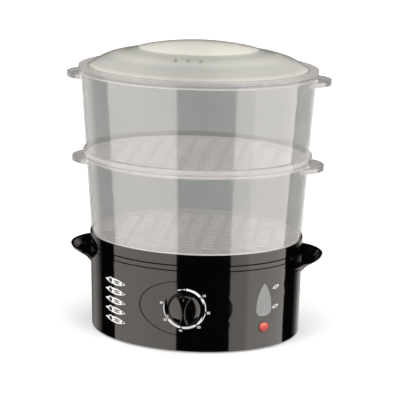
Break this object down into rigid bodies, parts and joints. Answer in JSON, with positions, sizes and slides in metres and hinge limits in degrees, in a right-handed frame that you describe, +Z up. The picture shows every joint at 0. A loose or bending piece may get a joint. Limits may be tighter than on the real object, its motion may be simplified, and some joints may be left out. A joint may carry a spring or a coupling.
{
  "type": "electric food steamer",
  "caption": "Oval electric food steamer: black tank base with timer dial, gauge and lamp, drip tray, stacked clear baskets and domed lid; tray, baskets and lid lift off.",
  "frame": {"origin": "On the worktop under the middle of the base, level with the undersides of the feet.", "axes": "+Z up; -Y towards the user, the side with the dial; +X to the right as seen from the front, where the gauge and the lamp are."},
  "size_m": [0.312, 0.2055, 0.3524],
  "materials": {
    "black_gloss": "polished injection-moulded black",
    "clear_grey": "clear, faintly smoky moulded plastic",
    "frosted_cream": "translucent cream, smooth",
    "grey_plastic": "moulded light grey",
    "black_matte": "moulded black",
    "gauge_grey": "translucent grey-green",
    "red_lens": "translucent red",
    "red_mark": "red inlay",
    "neon_glass": "clear glass bulb",
    "rubber_black": "soft black",
    "silicone": "translucent silicone",
    "steel": "bright zinc-plated",
    "heater_steel": "stainless sheath",
    "nylon_white": "natural nylon and ceramic",
    "lead_brown": "insulated, brown",
    "lead_blue": "insulated, blue",
    "lead_green": "insulated, green and yellow",
    "lead_white": "insulated, white"
  },
  "bodies": {
    "base": {"base_housing": "black_gloss", "bottom_cover": "black_matte", "bracket_screws": "steel", "cord_gland": "black_matte", "cover_screws": "steel", "cutout_bracket": "steel", "earth_lead": "lead_green", "element_nuts": "steel", "element_seals": "silicone", "fuse_lead": "lead_brown", "gauge_seal": "silicone", "gauge_window": "gauge_grey", "gland_clip": "black_matte", "heating_element": "heater_steel", "lamp_holder": "black_matte", "lamp_leads": "lead_white", "live_lead": "lead_brown", "neon_lamp": "neon_glass", "neutral_lead": "lead_blue", "pilot_lens": "red_lens", "rubber_feet": "rubber_black", "sensor_plate": "steel", "sensor_seal": "silicone", "switched_lead": "lead_brown", "terminal_block": "nylon_white", "terminal_screws": "steel", "thermal_cutout": "black_matte", "thermal_fuse": "nylon_white", "timer_bell": "steel", "timer_case": "black_matte", "timer_screws": "steel", "timer_tabs": "steel", "water_tank": "grey_plastic"},
    "drip_tray": {"drip_tray": "black_gloss"},
    "lower_basket": {"lower_basket": "clear_grey"},
    "upper_basket": {"upper_basket": "clear_grey"},
    "lid": {"lid": "frosted_cream"},
    "turbo_ring": {"turbo_ring": "grey_plastic"},
    "timer_knob": {"timer_knob": "black_gloss", "knob_pointer": "red_mark", "timer_shaft": "steel"}
  },
  "joints": [
    {"name": "timer_turn", "type": "hinge", "parent": "base", "child": "timer_knob", "pos_m": [0, -0.0906, 0.055], "axis": [0, 1, 0], "range_deg": [0, 275]},
    {"name": "turbo_ring_lift", "type": "slide", "parent": "base", "child": "turbo_ring", "axis": [0, 0, 1], "range_m": [0, 0.02]},
    {"name": "drip_tray_lift", "type": "slide", "parent": "base", "child": "drip_tray", "axis": [0, 0, 1], "range_m": [0, 0.06]},
    {"name": "lower_basket_lift", "type": "slide", "parent": "drip_tray", "child": "lower_basket", "axis": [0, 0, 1], "range_m": [0, 0.06]},
    {"name": "upper_basket_lift", "type": "slide", "parent": "lower_basket", "child": "upper_basket", "axis": [0, 0, 1], "range_m": [0, 0.06]},
    {"name": "lid_lift", "type": "slide", "parent": "upper_basket", "child": "lid", "axis": [0, 0, 1], "range_m": [0, 0.06]}
  ]
}
